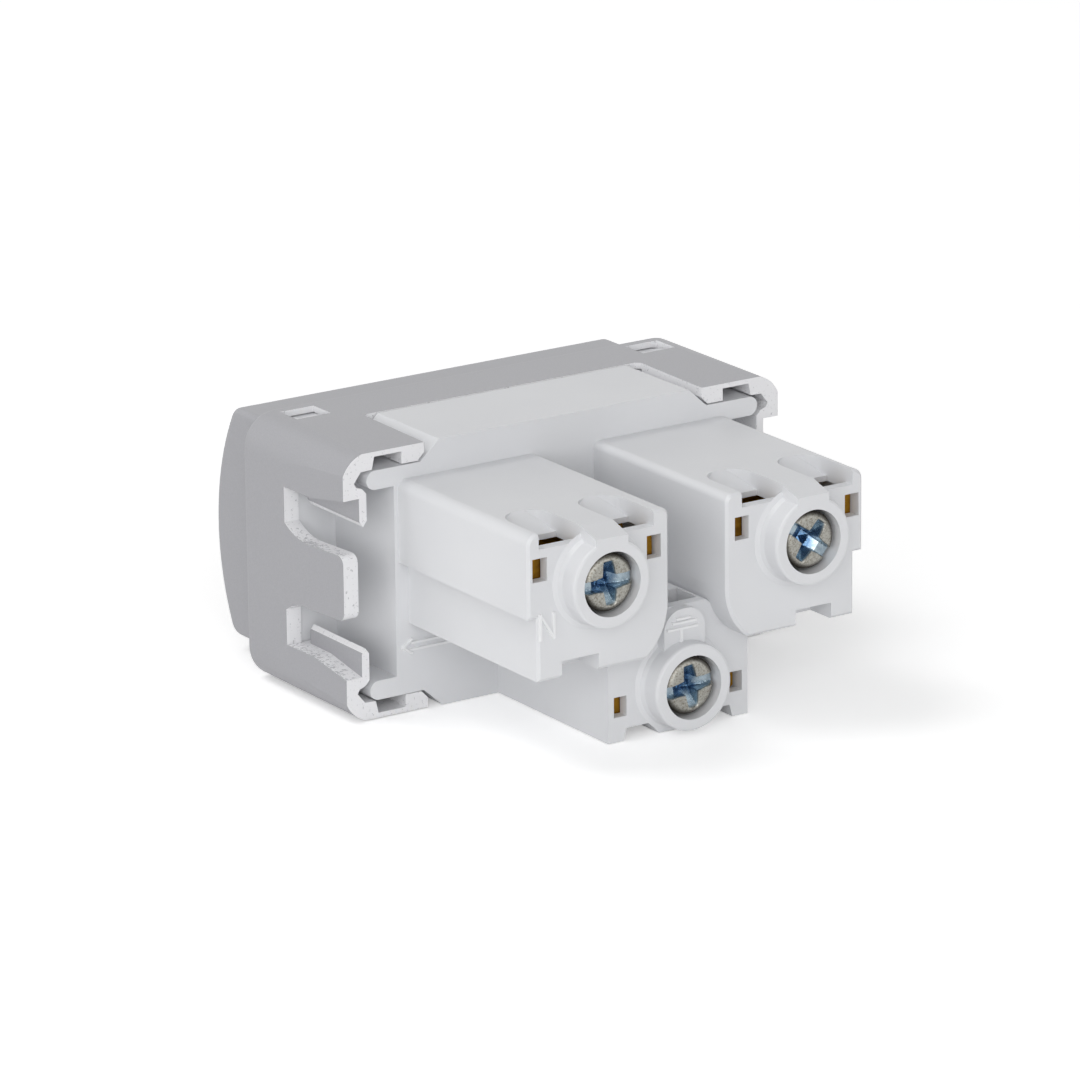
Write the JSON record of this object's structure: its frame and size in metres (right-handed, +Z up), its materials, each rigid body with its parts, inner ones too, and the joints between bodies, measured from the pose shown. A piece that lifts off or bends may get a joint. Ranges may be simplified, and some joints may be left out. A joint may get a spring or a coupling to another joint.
{
  "type": "socket outlet module",
  "caption": "Clip-in socket outlet module: silver front cap with plug recess, hooked arms and snap tongues, white body with screw terminals for neutral, line and earth.",
  "frame": {"origin": "under the centre of the bounding box, on the plane the module rests on", "axes": "+X along the module's length towards the neutral terminal, +Y to the terminal side, plug side at -Y, +Z up with the earth pin below the other two"},
  "size_m": [0.0454, 0.0484, 0.0239],
  "materials": {
    "cap_paint": "satin aluminium-coloured paint on white plastic",
    "white_plastic": "fine moulded satin",
    "brass": "stamped, unpolished",
    "spring_steel": "plain rolled strip",
    "zinc_plated_steel": "blue-passivated zinc plating"
  },
  "bodies": {
    "housing": {"front_cap": "cap_paint", "rear_body": "white_plastic", "neutral_contact": "brass", "neutral_spring": "spring_steel", "neutral_nut": "brass", "line_contact": "brass", "line_spring": "spring_steel", "line_nut": "brass", "earth_contact": "brass", "earth_spring": "spring_steel", "earth_nut": "brass"},
    "neutral_clamp_body": {"neutral_clamp": "brass"},
    "neutral_screw_body": {"neutral_screw": "zinc_plated_steel"},
    "line_clamp_body": {"line_clamp": "brass"},
    "line_screw_body": {"line_screw": "zinc_plated_steel"},
    "earth_clamp_body": {"earth_clamp": "brass"},
    "earth_screw_body": {"earth_screw": "zinc_plated_steel"}
  },
  "joints": [
    {"name": "neutral_clamp_travel", "type": "slide", "parent": "housing", "child": "neutral_clamp_body", "axis": [0, -1, 0], "range_m": [0, 0.0021]},
    {"name": "neutral_screw_turn", "type": "hinge", "parent": "neutral_clamp_body", "child": "neutral_screw_body", "pos_m": [0.01025, 0.02073, 0.01615], "axis": [0, -1, 0], "range_deg": [0, 1080]},
    {"name": "line_clamp_travel", "type": "slide", "parent": "housing", "child": "line_clamp_body", "axis": [0, -1, 0], "range_m": [0, 0.0021]},
    {"name": "line_screw_turn", "type": "hinge", "parent": "line_clamp_body", "child": "line_screw_body", "pos_m": [-0.01025, 0.02073, 0.01615], "axis": [0, -1, 0], "range_deg": [0, 1080]},
    {"name": "earth_clamp_travel", "type": "slide", "parent": "housing", "child": "earth_clamp_body", "axis": [0, -1, 0], "range_m": [0, 0.0021]},
    {"name": "earth_screw_turn", "type": "hinge", "parent": "earth_clamp_body", "child": "earth_screw_body", "pos_m": [0, 0.01773, 0.00435], "axis": [0, -1, 0], "range_deg": [0, 1080]}
  ],
  "couplings": [
    {"joint": "neutral_screw_turn", "follows": "neutral_clamp_travel", "rad_per_m": 8976},
    {"joint": "line_screw_turn", "follows": "line_clamp_travel", "rad_per_m": 8976},
    {"joint": "earth_screw_turn", "follows": "earth_clamp_travel", "rad_per_m": 8976}
  ]
}
